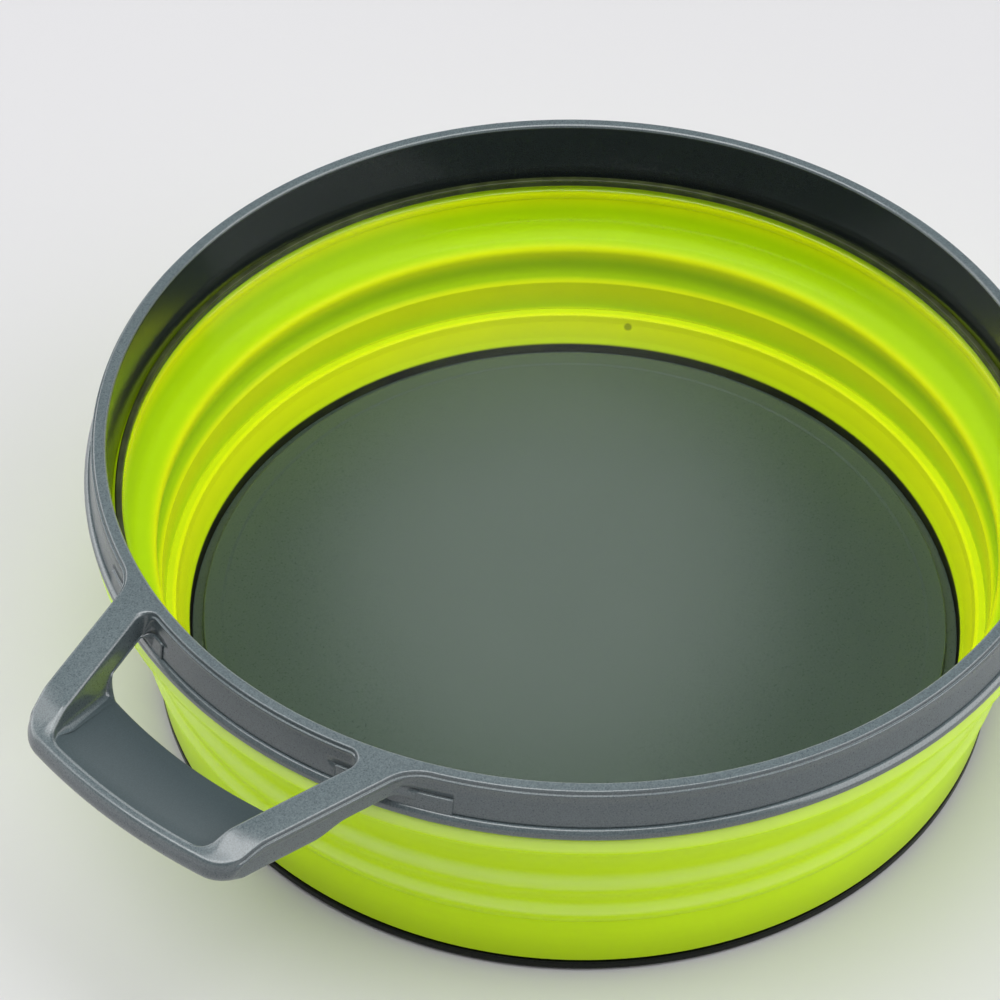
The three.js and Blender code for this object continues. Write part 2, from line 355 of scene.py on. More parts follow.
@dataclass(frozen=True)
class GrainedNylon:
    """Moulded nylon with a fine eroded grain, polished where its edges are rounded, and with level tops
    painted paler as painted light.
    """

    name: str
    dark: Colour
    pale: Colour
    grain: float = 0.2
    mottle: float = 14.0
    roughness: float = 0.3
    relief: float = 0.02
    specular: float = 0.5
    # How many times paler level tops are painted: painted light for the extra light that falls on them.
    level: float = 1.0
    skin: float = 0.0
    polish: float = 0.0
    coat_index: float = 1.75
    coat_roughness: float = 0.13

    def material(self) -> bpy.types.Material:
        """Builds the material.

        Returns:
            The material.
        """
        shader = Shader(self.name)
        grain = shader.noise(self.grain, 3.0)
        speck = shader.noise(self.grain * 0.45, 1.0).span(0.52, 0.72)
        cloud = shader.noise(self.mottle, 2.0)
        tilt = shader.tilt()
        edge = tilt.span(0.995, 0.95) * tilt.span(0.15, 0.5)
        share = (grain.span(0.3, 0.7) * 0.55 + cloud * 0.25 + speck * 0.2).span(0.1, 1.0)
        upright = shader.blend(share, self.dark, self.pale)
        # Level tops get paler tones than upright sides: painted light.
        painted_top_light_tones = [tuple(c * self.level for c in tone) for tone in (self.dark, self.pale)]
        flat = shader.blend(share, *painted_top_light_tones)
        return shader.finish(shader.surface({
            "Base Color": shader.blend(tilt.span(0.4, 0.98), upright, flat),
            "Roughness": grain * 0.18 + (self.roughness - 0.09),
            "Specular IOR Level": self.specular,
            "Coat Weight": edge * self.polish + self.skin,
            "Coat IOR": self.coat_index,
            "Coat Roughness": self.coat_roughness,
            "Normal": shader.bump(grain + speck * 0.4, self.relief, 0.55),
        }))


@dataclass(frozen=True)
class SoftSilicone:
    """Lime silicone: smooth and faintly cloudy, with painted light: highlights on the inner crests that
    fade to shade below them, a shadow at the inner foot, shade low on the outside and a faint glow.
    """

    name: str
    # Inner tone away from the crests; below each crest the painted highlight fades into it as painted
    # shade.
    thick: Colour
    # Painted highlight tone on the inner crests.
    crest_highlight: Colour
    # Outer face's tone, kept apart from the inner tones to paint the difference in light between the
    # faces.
    outside: Colour
    folds: tuple[Pair, ...]
    gate: Triple
    gate_radius: float = 0.75
    # Height below which the inner face is painted black as a shadow at its foot.
    foot_shadow_height: float = 7.3
    # Strength of a painted glow: the silicone emits a little light, though it is no lamp.
    painted_glow: float = 0.15
    outside_painted_glow: float = 0.3
    # How dark the outer face is painted near the table, and the heights over which that painted shade
    # fades out.
    low_painted_shade: float = 0.72
    painted_shade_rise: Pair = (2.0, 11.0)
    cloud_shade: float = 0.6
    cloudiness: float = 0.12
    roughness: float = 0.32
    specular: float = 0.1
    coat_index: float = 2.0
    coat_roughness: float = 0.2

    def material(self) -> bpy.types.Material:
        """Builds the material.

        Returns:
            The material.
        """
        shader = Shader(self.name)
        cloud = shader.noise(11.0, 3.0)
        satin = shader.noise(0.5, 2.0)
        streak = shader.noise(5.0, 2.0, (1, 1, 6))
        height = shader.height()
        # Painted highlight on each inner crest, fading to painted shade below it.
        crest_light = sum(
            height.span(fold + 0.9, fold + 0.1) * height.span(fold - fade, fold - 0.2)
            for fold, fade in self.folds
        )
        inside = shader.blend(crest_light, self.thick, self.crest_highlight)
        # Painted shadow: the inner face goes black below this height, at the wall's foot.
        inside = shader.blend(height.span(self.foot_shadow_height, self.foot_shadow_height + 0.5), (0.0, 0.0, 0.0), inside)
        # The outer face is painted darker towards the table: painted shade.
        painted_low_shade_tone = tuple(c * self.low_painted_shade for c in self.outside)
        outside = shader.blend(height.span(*self.painted_shade_rise), painted_low_shade_tone, self.outside)
        faces_out = shader.outwardness().span(-0.2, 0.35)
        # The inner and outer faces are one silicone; their separate tones paint the difference in the
        # light that reaches them.
        tone = shader.blend(faces_out, inside, outside)
        cloudy = (cloud * 0.6 + streak * 0.4).span(0.25, 0.75) * self.cloudiness
        mark = shader.near(self.gate, self.gate_radius)
        shade = tuple(c * self.cloud_shade for c in self.outside)
        painted_glow = tuple(c * self.outside_painted_glow for c in self.outside)
        colour = shader.blend(cloudy, tone, shade)
        return shader.finish(shader.surface({
            "Base Color": shader.blend(mark * 0.75, colour, tuple(c * 0.25 for c in shade)),
            "Roughness": satin * 0.12 + (self.roughness - 0.06),
            "Specular IOR Level": self.specular,
            # Painted glow: emission brightens the silicone, inside with its inner tones and outside with
            # a share of the outer tone.
            "Emission Color": shader.blend(faces_out, inside, painted_glow),
            "Emission Strength": self.painted_glow,
            "Coat Weight": faces_out * shader.tilt().span(-0.08, 0.3),
            "Coat IOR": self.coat_index,
            "Coat Roughness": self.coat_roughness,
            "Normal": shader.bump(satin * 0.5 + streak - mark * 9, 0.02, 0.25),
        }))


@dataclass(frozen=True)
class SealRubber:
    """Dark olive seal with a smooth skin and a dusty bloom."""

    name: str
    colour: Colour
    bloom: Colour

    def material(self) -> bpy.types.Material:
        """Builds the material.

        Returns:
            The material.
        """
        shader = Shader(self.name)
        dust = shader.noise(3.0, 3.0)
        fine = shader.noise(0.3, 2.0)
        return shader.finish(shader.surface({
            "Base Color": shader.blend(dust.span(0.35, 0.75), self.colour, self.bloom),
            "Roughness": fine * 0.15 + 0.32,
            "Normal": shader.bump(fine, 0.02, 0.3),
        }))


@dataclass(frozen=True)
class ClearPlastic:
    """Clear polished panel: lets light through and mirrors a little, more at a glancing angle."""

    name: str
    tint: Colour
    mirror: float = 0.036
    mirror_colour: Colour = (0.95, 0.97, 0.97)
    haziness: float = 0.004

    def material(self) -> bpy.types.Material:
        """Builds the material.

        Returns:
            The material.
        """
        shader = Shader(self.name)
        haze = shader.noise(18.0, 3.0)
        facing = Value(shader, shader.node("ShaderNodeLayerWeight", {}, {"Blend": 0.5}).outputs["Facing"])
        share = facing ** 5 * (1 - self.mirror) + haze.span(0.3, 0.8) * self.haziness + self.mirror
        clear = shader.node("ShaderNodeBsdfTransparent", {}, {"Color": (*self.tint, 1.0)})
        mirror = shader.surface({
            "Base Color": (*self.mirror_colour, 1.0),
            "Metallic": 1.0,
            "Roughness": haze * 0.05 + 0.03,
        })
        return shader.finish(shader.node("ShaderNodeMixShader", {}, {
            0: share, 1: clear.outputs[0], 2: mirror.outputs[0],
        }))


# The rim's level tops are painted 1.6 times paler, as painted light.
RIM_FINISH = GrainedNylon(
    "rim_grained_nylon", (0.049, 0.065, 0.071), (0.097, 0.123, 0.131), level=1.6, skin=0.3, polish=0.6,
)
SCOOP_FINISH = GrainedNylon(
    "rim_smooth_scoop", (0.05, 0.07, 0.076), (0.07, 0.095, 0.103), relief=0.009, roughness=0.34,
)
BORE_FINISH = GrainedNylon(
    "rim_polished_bore", (0.012, 0.016, 0.017), (0.017, 0.022, 0.023), relief=0.004, roughness=0.16,
)
# Grey nylon, with a green tint painted in for the light bounced onto it from the green wall.
FLOOR_FINISH = GrainedNylon("floor_nylon", (0.05, 0.077, 0.061), (0.062, 0.092, 0.074), grain=0.3)
FOOT_FINISH = GrainedNylon(
    "foot_nylon", (0.004, 0.005, 0.005), (0.007, 0.009, 0.008), grain=0.5, specular=0.12,
)
# The second colour is the inner crests' painted highlight; each fold is a crest's height and how far its
# highlight fades down.
WALL_FINISH = SoftSilicone(
    "lime_silicone", (0.45, 0.7, 0.0003), (0.78, 0.87, 0.0004), (0.56, 0.82, 0.003),
    folds=((31.2, 3.2), (23.75, 3.4), (17.4, 6.5), (11.95, 8.0)), gate=(-48.1, -29.4, 10.6),
)
SEAL_FINISH = SealRubber("olive_seal", (0.028, 0.038, 0.008), (0.06, 0.078, 0.022))
LID_FINISH = ClearPlastic("clear_lid", (0.99, 0.995, 0.993))


# Turned pieces


@dataclass(frozen=True)
class Corner:
    """A corner of a turned section: its radius, its height and how far it is rounded, in millimetres."""

    radius: float
    height: float
    round: float = 0.0


@dataclass
class Section:
    """A closed section that is turned about the bowl's axis."""

    corners: list[Corner]
    closed: bool = True
    arc_step: float = 14.0
    support: float = 0.12

    def points(self) -> list[Pair]:
        """The section's outline with its corners rounded and a short run kept beside each of them.

        Returns:
            Pairs of radius and height, in millimetres.
        """
        count = len(self.corners)
        outline: list[Vector] = []
        for i, corner in enumerate(self.corners):
            here = Vector((corner.radius, corner.height))
            ends = not self.closed and i in (0, count - 1)
            if corner.round <= 0 or ends:
                outline.append(here)
                continue
            before, after = self.corners[i - 1], self.corners[(i + 1) % count]
            outline += self._rounded(here, before, after, corner.round)
        return self._supported(outline)

    def _rounded(self, here: Vector, before: Corner, after: Corner, size: float) -> list[Vector]:
        """The arc that replaces a corner.

        Args:
            here: The corner.
            before: The corner before it.
            after: The corner after it.
            size: The arc's radius, cut down where the runs beside it are short.

        Returns:
            Points along the arc.
        """
        back = Vector((before.radius, before.height)) - here
        on = Vector((after.radius, after.height)) - here
        turn = math.pi - back.angle(on)
        reach = min(size * math.tan(turn / 2), 0.48 * min(back.length, on.length))
        size = reach / math.tan(turn / 2)
        start, end = here + back.normalized() * reach, here + on.normalized() * reach
        middle = here + (back.normalized() + on.normalized()).normalized() * (size / math.cos(turn / 2))
        steps = max(2, round(math.degrees(turn) / self.arc_step))
        first, sweep = start - middle, (start - middle).angle_signed(end - middle)
        arc = []
        for k in range(steps + 1):
            angle = -sweep * k / steps
            cos, sin = math.cos(angle), math.sin(angle)
            arc.append(middle + Vector((first.x * cos - first.y * sin, first.x * sin + first.y * cos)))
        return arc

    def _supported(self, outline: list[Vector]) -> list[Pair]:
        """Adds a point near each end of every long run, so that flats stay flat when shaded.

        Args:
            outline: The rounded outline.

        Returns:
            Pairs of radius and height.
        """
        result: list[Pair] = []
        runs = len(outline) if self.closed else len(outline) - 1
        for i in range(runs):
            start, end = outline[i], outline[(i + 1) % len(outline)]
            result.append(tuple(start))
            if (end - start).length > 4 * self.support:
                step = (end - start).normalized() * self.support
                result += [tuple(start + step), tuple(end - step)]
        if not self.closed:
            result.append(tuple(outline[-1]))
        return result


def flowing(points: list[Pair], steps: int = 6) -> list[Corner]:
    """A smooth run through points, as the soft wall's bands have.

    Args:
        points: Pairs of radius and height that it passes.
        steps: How many stretches each span is cut into.

    Returns:
        Corners along the run.
    """
    ends = [points[0], *points, points[-1]]
    run = []
    for p0, p1, p2, p3 in zip(ends, ends[1:], ends[2:], ends[3:]):
        for k in range(steps):
            t = k / steps
            values = []
            for a, b, c, d in zip(p0, p1, p2, p3):
                bend = 2 * a - 5 * b + 4 * c - d + t * (3 * (b - c) + d - a)
                values.append(b + 0.5 * t * (c - a + t * bend))
            run.append(Corner(*values))
    run.append(Corner(*points[-1]))
    return run


class TurningTree(Graph):
    """Geometry Nodes that turn a flat section about the Z axis into a closed ring or disc."""

    PATH_RADIUS = 0.05
    FACETS = 240

    def __init__(self) -> None:
        """Builds the node group."""
        super().__init__(bpy.data.node_groups.new("turned_section", "GeometryNodeTree"))
        face = self.tree.interface
        kinds = {"Section": "Geometry", "Facets": "Int", "Path Radius": "Float", "Material": "Material"}
        self.sockets: dict[str, str] = {}
        for name, kind in kinds.items():
            socket = face.new_socket(name, in_out="INPUT", socket_type="NodeSocket" + kind)
            self.sockets[name] = socket.identifier
        face.new_socket("Geometry", in_out="OUTPUT", socket_type="NodeSocketGeometry")
        given = self.node("NodeGroupInput", {}, {}).outputs
        section = self._step("MeshToCurve", {}, {"Mesh": given["Section"]})
        circle = self._step("CurvePrimitiveCircle", {}, {
            "Resolution": given["Facets"], "Radius": given["Path Radius"],
        })
        path = self._step("SetCurveNormal", {"mode": "Z_UP"}, {"Curve": circle})
        swept = self._step("CurveToMesh", {}, {"Curve": path, "Profile Curve": section})
        merged = self._step("MergeByDistance", {}, {"Geometry": swept, "Distance": 1e-6})
        smooth = self._step("SetShadeSmooth", {}, {"Geometry": merged})
        real = self._step("RealizeInstances", {}, {"Geometry": smooth})
        dressed = self._step("SetMaterial", {}, {"Geometry": real, "Material": given["Material"]})
        self.node("NodeGroupOutput", {}, {"Geometry": dressed})

    def _step(self, kind: str, settings: dict[str, Any], inputs: dict[str, Any]) -> bpy.types.NodeSocket:
        """The first output of a new Geometry node."""
        return self.node("GeometryNode" + kind, settings, inputs).outputs[0]

    def turn(self, name: str, section: Section, material: bpy.types.Material) -> bpy.types.Object:
        """Turns a section into a piece.

        Args:
            name: The piece's name.
            section: What is turned.
            material: Its finish.

        Returns:
            The piece, as a plain mesh.
        """
        points = [(r * MM - self.PATH_RADIUS, -z * MM, 0.0) for r, z in section.points()]
        edges = [(i, i + 1) for i in range(len(points) - 1)]
        if section.closed:
            edges.append((len(points) - 1, 0))
        flat = bpy.data.meshes.new(name + "_section")
        flat.from_pydata(points, edges, [])
        piece = bpy.data.objects.new(name, flat)
        bpy.context.collection.objects.link(piece)
        turning = piece.modifiers.new("turning", "NODES")
        turning.node_group = self.tree
        turning[self.sockets["Facets"]] = self.FACETS
        turning[self.sockets["Path Radius"]] = self.PATH_RADIUS
        turning[self.sockets["Material"]] = material
        depsgraph = bpy.context.evaluated_depsgraph_get()
        mesh = bpy.data.meshes.new_from_object(piece.evaluated_get(depsgraph))
        piece.modifiers.remove(turning)
        piece.data = mesh
        point_outwards(mesh)
        return piece


def point_outwards(mesh: bpy.types.Mesh) -> None:
    """Turns the faces of a closed mesh to point outwards.

    Args:
        mesh: The mesh, changed in place.
    """
    work = bmesh.new()
    work.from_mesh(mesh)
    bmesh.ops.recalc_face_normals(work, faces=work.faces)
    work.to_mesh(mesh)
    work.free()


def settle(piece: bpy.types.Object, body: Body, slot: Slot, *nodes: str) -> None:
    """Puts a finished piece on its body in place of CAD nodes.

    Args:
        piece: The piece.
        body: What it rides on.
        slot: The record's slot of its finish; not used.
        nodes: The CAD nodes that it stands for.
    """
    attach(piece, body.value)
    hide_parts(*nodes)
    LOG.info("%s: %d faces on %s", piece.name, len(piece.data.polygons), body.value)


# Rim and handle


@dataclass
class EdgePoint:
    """A point of a plan outline: its place, its kind of edge and the way out of the material."""

    place: Vector
    kind: float
    out: Vector = field(default_factory=lambda: Vector((0, 0)))


def arc(centre: Vector, start: Vector, end: Vector, step: float) -> list[Vector]:
    """Points along the shorter arc from start to end, both included.

    Args:
        centre: The arc's centre.
        start: Its first point.
        end: Its last point.
        step: Longest stretch between points, in millimetres.

    Returns:
        The points.
    """
    first, last = start - centre, end - centre
    begin, sweep = math.atan2(first.y, first.x), -first.angle_signed(last)
    count = max(2, math.ceil(abs(sweep) * first.length / step))
    turned = [begin + sweep * k / count for k in range(count + 1)]
    return [centre + heading(a) * first.length for a in turned]


def straight(start: Vector, end: Vector, step: float) -> list[Vector]:
    """Points along a line, both ends included.

    Args:
        start: The first point.
        end: The last point.
        step: Longest stretch between points, in millimetres.

    Returns:
        The points.
    """
    count = max(1, math.ceil((end - start).length / step))
    return [start.lerp(end, k / count) for k in range(count + 1)]


def resampled(points: list[Vector], count: int) -> list[Vector]:
    """The same path with another number of points, evenly spread.

    Args:
        points: The path.
        count: How many points it gets.

    Returns:
        The new points.
    """
    lengths = [0.0]
    for a, b in zip(points, points[1:]):
        lengths.append(lengths[-1] + (b - a).length)
    result, k = [], 0
    for i in range(count):
        goal = lengths[-1] * i / (count - 1)
        while k < len(lengths) - 2 and lengths[k + 1] < goal:
            k += 1
        result.append(points[k].lerp(points[k + 1], (goal - lengths[k]) / (lengths[k + 1] - lengths[k])))
    return result


@dataclass
class HolePoint:
    """A point on the edge of the hole below the handle's opening, with the depths beside it."""

    place: Vector
    out: Vector
    foot: float
    sunk: float
    room: float
    thick: float


@dataclass
class RimMoulding:
    """Rim and loop handle in one moulding: a flat land with walls that drop from each of its edges."""

    material: bpy.types.Material
    bore_material: bpy.types.Material
    scoop_material: bpy.types.Material
    top: float = field(default_factory=lambda: node_top("rim_frame"))
    bar_radius: float = field(default_factory=lambda: node_reach("handle_loop"))
    land_outer: float = 66.0
    land_inner: float = 63.95
    web_depth: float = 5.6
    web_flare: float = 0.64
    skirt_depth: float = 11.0
    skirt_wall: float = 0.95
    seam_depth: float = 3.1
    seam_width: float = 0.2
    seam_cut: float = 0.9
    seam_fade: float = 0.3
    seam_turn: Pair = (13.0, 26.4)
    arm_root_half: float = 23.0
    arm_tip_half: float = 17.0
    arm_width: float = 4.5
    arm_depth: float = 3.6
    arm_side_start: float = 1.2
    arm_recess: float = 0.25
    arm_deepening: float = 4.0
    bar_depth: float = 4.8
    bar_lip: float = 1.6
    bar_drop: float = 1.35
    bar_slope: float = 4.2
    bar_roll: Pair = (1.0, 2.1)
    root_round: float = 6.0
    bar_round: float = 5.0
    opening_root_round: float = 1.5
    opening_bar_round: float = 3.0
    scoop_radius: float = 75.2
    scoop_top: float = 1.65
    scoop_bottom: float = 6.1
    scoop_wall: float = 1.6
    scoop_round: float = 2.7
    scoop_lip: float = 0.3
    foot_round: float = 2.2
    scoop_row: int = 13
    bore_row: int = 4
    wall_draft: float = 0.25
    edge_wall: float = 0.15
    mouth_facets: int = 264

    # Each pair is how far out of the edge and how deep below the land
    STEP_AND_BEAD = (
        (-0.62, 0), (-0.53, 0.006), (-0.44, 0.05), (-0.38, 0.14), (-0.35, 0.32), (-0.32, 0.52),
        (-0.25, 0.58), (-0.16, 0.51), (-0.06, 0.53), (0, 0.65), (-0.02, 0.85), (-0.1, 1.05),
    )
    OPENING_EDGE = ((-0.6, 0.0), (-0.5, 0.008), (-0.33, 0.06), (-0.17, 0.16), (-0.05, 0.3), (0.0, 0.46))
    BAR_CREST = ((-0.36, 0.0), (-0.28, 0.006), (-0.16, 0.03), (-0.04, 0.08), (0.08, 0.14), (0.2, 0.2))
    MOUTH_EDGE = ((-0.5, 0), (-0.4, 0.006), (-0.25, 0.06), (-0.11, 0.2), (-0.03, 0.42), (0, 0.7))

    # Each pair is how far out of the edge and which share of the depth
    ARM_SIDE = (
        (-0.05, 0), (0, 0.2), (0, 0.4), (0, 0.6), (0, 0.75), (0, 0.88), (-0.08, 0.95), (-0.2, 0.99),
        (-0.4, 1),
    )
    SCOOP_LIP = ((0.6, 0.06), (1.0, 0.25), (1.0, 0.75), (0.0, 1.0))

    def __post_init__(self) -> None:
        """Works out the arms' lines."""
        root = Vector((self.land_outer, self.arm_root_half))
        tip = Vector((self.bar_radius, self.arm_tip_half))
        self.along = (tip - root).normalized()
        self.side = Vector((-self.along.y, self.along.x))
        self.arm_line = root
        self.bar_inner = self.bar_radius - self.bar_lip

    def _drop(self, place: Vector) -> float:
        """How far the land lies below the rim's at a place: the handle's top dips to its bar."""
        return self.bar_drop * ease((place.length - self.bar_inner + self.bar_slope) / self.bar_slope)

    def _scoop_depth(self, radius: float) -> float:
        """Depth of the scoop's slope below the rim's land, at a distance from the axis."""
        share = (self.bar_inner - radius) / (self.bar_inner - self.scoop_radius)
        return mix(self.scoop_top, self.scoop_bottom, min(1.0, max(0.0, share)))

    def _meet(self, offset: float, radius: float) -> Vector:
        """Where a line beside the arm's outer edge leaves a circle about the axis.

        Args:
            offset: How far the line lies outside the edge.
            radius: The circle's radius.

        Returns:
            The point.
        """
        start = self.arm_line + self.side * offset
        half = start.dot(self.along)
        reach = -half + math.sqrt(half * half - start.length_squared + radius * radius)
        return start + self.along * reach

    def _fillet(
        self, offset: float, circle: float, size: float, inside: bool, outer: bool,
    ) -> tuple[Vector, ...]:
        """An arc between a line along the arm and a circle about the axis.

        Args:
            offset: How far the line lies outside the arm's outer edge.
            circle: The circle's radius.
            size: The arc's radius.
            inside: Whether the arc lies inside the circle.
            outer: Whether it lies on the line's outer side.

        Returns:
            The arc's centre, its point on the circle and its point on the line.
        """
        sign = 1 if outer else -1
        reach = circle - size if inside else circle + size
        centre = self._meet(offset + sign * size, reach)
        return centre, centre * (circle / reach), centre - self.side * (sign * size)

    @staticmethod
    def _closed(half: list[EdgePoint], left: bool) -> list[EdgePoint]:
        """A whole outline from the half on the +Y side, whose ends lie on the X axis.

        Args:
            half: Points in order, with no point twice.
            left: Whether the way out of the material is on the left of the outline's direction.

        Returns:
            The closed outline.
        """
        loop = half + [EdgePoint(Vector((p.place.x, -p.place.y)), p.kind) for p in reversed(half[1:-1])]
        for i, point in enumerate(loop):
            run = (loop[(i + 1) % len(loop)].place - loop[i - 1].place).normalized()
            point.out = Vector((-run.y, run.x)) if left else Vector((run.y, -run.x))
        return loop

    @staticmethod
    def _changing(points: list[Vector], first: float, last: float, quick: float = 1.0) -> list[EdgePoint]:
        """Points whose kind of edge changes gently along them.

        Args:
            points: The places.
            first: The kind at the start.
            last: The kind at the end.
            quick: The share of the run by which the change is over.

        Returns:
            The points.
        """
        count = (len(points) - 1) * quick
        return [EdgePoint(p, mix(first, last, ease(k / count))) for k, p in enumerate(points)]

    def outer_outline(self) -> list[EdgePoint]:
        """The moulding's outer edge: rim, root, arm, corner and bar, on both sides.

        Returns:
            The closed outline.
        """
        root, on_rim, on_arm = self._fillet(0, self.land_outer, self.root_round, False, True)
        corner, on_bar, arm_end = self._fillet(0, self.bar_radius, self.bar_round, True, False)
        axis = Vector((0, 0))
        near = heading(math.radians(self.seam_turn[1] + 1.5)) * self.land_outer
        back, far = Vector((-self.land_outer, 0.0)), Vector((0, self.land_outer))
        front = Vector((self.bar_radius, 0))
        half = [EdgePoint(p, 0) for p in arc(axis, back, far, 1.6)[:-1]]
        half += [EdgePoint(p, 0) for p in arc(axis, far, near, 1.6)[:-1]]
        half += [EdgePoint(p, 0) for p in arc(axis, near, on_rim, 0.25)[:-1]]
        half += self._changing(arc(root, on_rim, on_arm, 0.3), 0, 1)[:-1]
        half += [EdgePoint(p, 1) for p in straight(on_arm, arm_end, 0.7)[:-1]]
        half += self._changing(arc(corner, arm_end, on_bar, 0.25), 1, 2, 0.35)[:-1]
        half += [EdgePoint(p, 2) for p in arc(axis, on_bar, front, 0.8)]
        return self._closed(half, left=True)

    def opening_outlines(self) -> tuple[list[EdgePoint], list[HolePoint]]:
        """The opening's edge in the land, and the edge of the hole below it, point for point.

        Returns:
            The opening's outline, and the hole's.
        """
        offset, axis = -self.arm_width, Vector((0, 0))
        root_size, bar_size = self.opening_root_round, self.opening_bar_round
        root, on_rim, on_arm = self._fillet(offset, self.land_outer, root_size, False, False)
        corner, on_bar, arm_end = self._fillet(offset, self.bar_inner, bar_size, True, False)
        drafted = offset - self.wall_draft
        bend, on_edge, on_wall = self._fillet(drafted, self.scoop_radius, self.scoop_round, True, False)
        split = on_wall + self.side * self.wall_draft
        rim_run = arc(axis, Vector((self.land_outer, 0.0)), on_rim, 0.8)[:-1]
        root_run = arc(root, on_rim, on_arm, 0.15)
        arm_run = straight(on_arm, split, 0.5)[:-1]
        deep_run = straight(split, arm_end, 0.3)[:-1]
        corner_run = arc(corner, arm_end, on_bar, 0.3)
        bar_run = arc(axis, on_bar, Vector((self.bar_inner, 0.0)), 0.8)
        half = [EdgePoint(p, 0) for p in rim_run] + self._changing(root_run, 0, 1)[:-1]
        half += [EdgePoint(p, 1) for p in arm_run + deep_run]
        half += self._changing(corner_run, 1, 2)[:-1] + [EdgePoint(p, 2) for p in bar_run]
        loop = self._closed(half, left=False)
        shallow = len(rim_run) + len(root_run) - 1 + len(arm_run)
        turning = len(deep_run) + len(corner_run) - 1
        hole = [self._shallow_hole(p) for p in half[:shallow]]
        first, last = on_wall - bend, on_edge - bend
        sweep, length = -first.angle_signed(last), 0.0
        whole = (arm_end - split).length + self.opening_bar_round * 1.4
        for i in range(shallow, shallow + turning):
            point = half[i]
            length += (point.place - half[i - 1].place).length if i > shallow else 0.0
            share = 0.75 * min(1.0, length / self.scoop_round) + 0.25 * min(1.0, length / whole)
            way = heading(math.atan2(first.y, first.x) + sweep * share)
            hole.append(self._deep_hole(point, bend + way * self.scoop_round, -way, length))
        edge = arc(axis, on_edge, Vector((self.scoop_radius, 0.0)), 0.2)
        for place, point in zip(resampled(edge, len(bar_run)), half[shallow + turning:]):
            hole.append(self._deep_hole(point, place, -place.normalized(), whole))
        for point in reversed(hole[1:-1]):
            place, out = Vector((point.place.x, -point.place.y)), Vector((point.out.x, -point.out.y))
            hole.append(HolePoint(place, out, point.foot, point.sunk, point.room, point.thick))
        return loop, hole

    def _shallow_hole(self, point: EdgePoint) -> HolePoint:
        """The hole's edge straight below the opening's, beside the rim and the first part of an arm.

        Args:
            point: The point on the opening's edge.

        Returns:
            The hole's point.
        """
        drift = mix(self.web_flare, self.wall_draft, min(1.0, point.kind))
        depth = self.arm_depth
        return HolePoint(point.place + point.out * drift, point.out, depth, depth, 0.0, self.edge_wall)

    def _deep_hole(self, point: EdgePoint, place: Vector, out: Vector, length: float) -> HolePoint:
        """The hole's edge at the scoop.

        Args:
            point: The point on the opening's edge.
            place: Its place on the hole's edge.
            out: The way into the hole there.
            length: How far along the opening the scoop began.

        Returns:
            The hole's point.
        """
        size = self.scoop_round
        deep = ease(length / size)
        sunk = mix(self.arm_depth, self.scoop_bottom, deep)
        foot = min(sunk, self._scoop_depth(point.place.length))
        room = max(0.0, (place - point.place).dot(point.out))
        return HolePoint(place, out, foot, sunk, room, mix(self.edge_wall, self.scoop_wall, deep))

    def _rim_rows(self, place: Vector) -> list[Pair]:
        """The rim's edge from the land down: a fine step, a bead and the flaring web with the tab's seam.

        Args:
            place: A place on the edge.

        Returns:
            Pairs of how far out and how deep.
        """
        rows = list(self.STEP_AND_BEAD)
        tuck, level = rows[-1]
        turn = abs(math.degrees(math.atan2(place.y, place.x)))
        first, last = self.seam_turn
        cut = self.seam_cut * ease((turn - first) / self.seam_fade) * ease((last - turn) / self.seam_fade)
        start, stop, end = self.seam_depth, self.seam_depth + self.seam_width, self.web_depth
        web = [(2.2, 0), (start - 0.03, 0), (start, cut), (stop, cut), (stop + 0.03, 0)]
        web += [(4.4, 0), (5.3, 0), (end - 0.08, 0), (end, 0.08)]
        for depth, inset in web:
            share = (depth - level) / (end - level)
            rows.append((mix(tuck, self.web_flare, share) - inset, depth))
        return rows

    def _arm_rows(self, place: Vector) -> list[Pair]:
        """The arm's outer edge from the land down, which deepens beside the scoop.

        Args:
            place: A place on the edge.

        Returns:
            Pairs of how far out and how deep.
        """
        deep = ease((place.length - self.scoop_radius) / self.arm_deepening + 0.5)
        depth = mix(self.arm_depth, self.bar_depth, deep) - self._drop(place)
        start, inset = self.arm_side_start, self.arm_recess
        side = [(out - inset, mix(start, depth, share)) for out, share in self.ARM_SIDE]
        return [*self.STEP_AND_BEAD, *side]

    def _bar_rows(self) -> list[Pair]:
        """The bar's outer side, which rolls over from its crest.

        Returns:
            Pairs of how far out and how deep.
        """
        wide, tall = self.bar_roll
        over, below = len(self.STEP_AND_BEAD), len(self.ARM_SIDE)
        rows = []
        for k in range(over):
            angle = math.pi / 2 * k / (over - 1)
            rows.append((-wide * (1 - math.sin(angle)), tall * (1 - math.cos(angle))))
        under = self.bar_depth - self.bar_drop - tall
        for k in range(1, below + 1):
            angle = math.pi / 2 * k / below
            rows.append((-wide * (1 - math.cos(angle)), tall + under * math.sin(angle)))
        return rows

    def outer_rows(self, point: EdgePoint) -> list[Vector]:
        """The outer wall below one point of the outer edge.

        Args:
            point: The point.

        Returns:
            Places from the land down.
        """
        rim, arm, bar = self._rim_rows(point.place), self._arm_rows(point.place), self._bar_rows()
        share, rest = min(1.0, point.kind), max(0.0, point.kind - 1)
        level = self.top - self._drop(point.place)
        rows = []
        for a, b, c in zip(rim, arm, bar):
            flat = point.place + point.out * mix(mix(a[0], b[0], share), c[0], rest)
            rows.append(Vector((*flat, level - mix(mix(a[1], b[1], share), c[1], rest))))
        return rows

